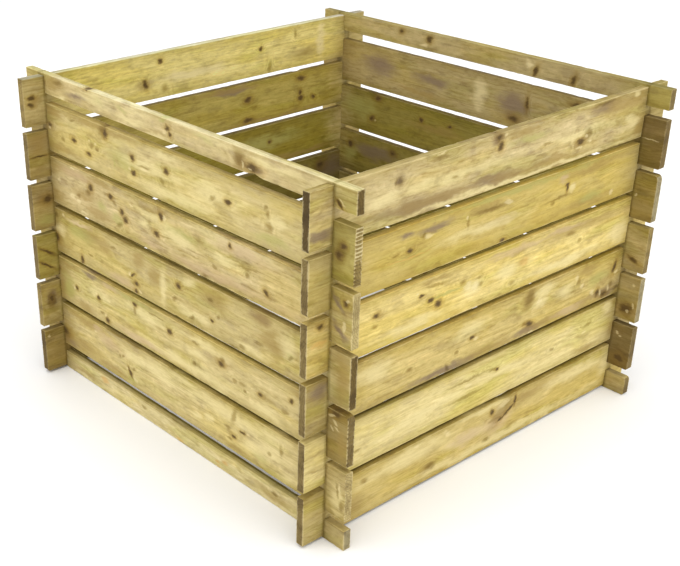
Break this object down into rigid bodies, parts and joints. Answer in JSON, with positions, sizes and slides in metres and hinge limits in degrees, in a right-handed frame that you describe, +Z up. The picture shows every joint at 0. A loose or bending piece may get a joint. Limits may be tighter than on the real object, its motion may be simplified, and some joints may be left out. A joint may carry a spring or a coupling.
{
  "type": "compost bin",
  "caption": "Open square compost bin of notched timber boards that slot together at the corners, with air gaps between the boards and no fasteners.",
  "frame": {"origin": "on the ground under the middle of the bin", "axes": "+Z up, -Y out of the front wall, whose lowest and highest boards are half height, +X out of the right wall"},
  "size_m": [1, 1, 0.7],
  "materials": {
    "treated_pine": "sawn and planed softwood, pressure treated to a yellow-green, dry and matt"
  },
  "bodies": {
    "base_course": {"front_base_board": "treated_pine", "back_base_board": "treated_pine"},
    "side_course_1": {"left_board_1": "treated_pine", "right_board_1": "treated_pine"},
    "front_back_course_1": {"front_board_1": "treated_pine", "back_board_1": "treated_pine"},
    "side_course_2": {"left_board_2": "treated_pine", "right_board_2": "treated_pine"},
    "front_back_course_2": {"front_board_2": "treated_pine", "back_board_2": "treated_pine"},
    "side_course_3": {"left_board_3": "treated_pine", "right_board_3": "treated_pine"},
    "front_back_course_3": {"front_board_3": "treated_pine", "back_board_3": "treated_pine"},
    "side_course_4": {"left_board_4": "treated_pine", "right_board_4": "treated_pine"},
    "front_back_course_4": {"front_board_4": "treated_pine", "back_board_4": "treated_pine"},
    "side_course_5": {"left_board_5": "treated_pine", "right_board_5": "treated_pine"},
    "front_back_course_5": {"front_board_5": "treated_pine", "back_board_5": "treated_pine"},
    "side_course_6": {"left_board_6": "treated_pine", "right_board_6": "treated_pine"},
    "front_top": {"front_top_board": "treated_pine"},
    "back_top": {"back_top_board": "treated_pine"}
  },
  "joints": [
    {"name": "side_course_1_lift", "type": "slide", "parent": "base_course", "child": "side_course_1", "axis": [0, 0, 1], "range_m": [0, 0.06]},
    {"name": "front_back_course_1_lift", "type": "slide", "parent": "side_course_1", "child": "front_back_course_1", "axis": [0, 0, 1], "range_m": [0, 0.06]},
    {"name": "side_course_2_lift", "type": "slide", "parent": "front_back_course_1", "child": "side_course_2", "axis": [0, 0, 1], "range_m": [0, 0.06]},
    {"name": "front_back_course_2_lift", "type": "slide", "parent": "side_course_2", "child": "front_back_course_2", "axis": [0, 0, 1], "range_m": [0, 0.06]},
    {"name": "side_course_3_lift", "type": "slide", "parent": "front_back_course_2", "child": "side_course_3", "axis": [0, 0, 1], "range_m": [0, 0.06]},
    {"name": "front_back_course_3_lift", "type": "slide", "parent": "side_course_3", "child": "front_back_course_3", "axis": [0, 0, 1], "range_m": [0, 0.06]},
    {"name": "side_course_4_lift", "type": "slide", "parent": "front_back_course_3", "child": "side_course_4", "axis": [0, 0, 1], "range_m": [0, 0.06]},
    {"name": "front_back_course_4_lift", "type": "slide", "parent": "side_course_4", "child": "front_back_course_4", "axis": [0, 0, 1], "range_m": [0, 0.06]},
    {"name": "side_course_5_lift", "type": "slide", "parent": "front_back_course_4", "child": "side_course_5", "axis": [0, 0, 1], "range_m": [0, 0.06]},
    {"name": "front_back_course_5_lift", "type": "slide", "parent": "side_course_5", "child": "front_back_course_5", "axis": [0, 0, 1], "range_m": [0, 0.06]},
    {"name": "side_course_6_lift", "type": "slide", "parent": "front_back_course_5", "child": "side_course_6", "axis": [0, 0, 1], "range_m": [0, 0.06]},
    {"name": "front_top_lift", "type": "slide", "parent": "side_course_6", "child": "front_top", "axis": [0, 0, 1], "range_m": [0, 0.06]},
    {"name": "back_top_lift", "type": "slide", "parent": "side_course_6", "child": "back_top", "axis": [0, 0, 1], "range_m": [0, 0.06]}
  ]
}
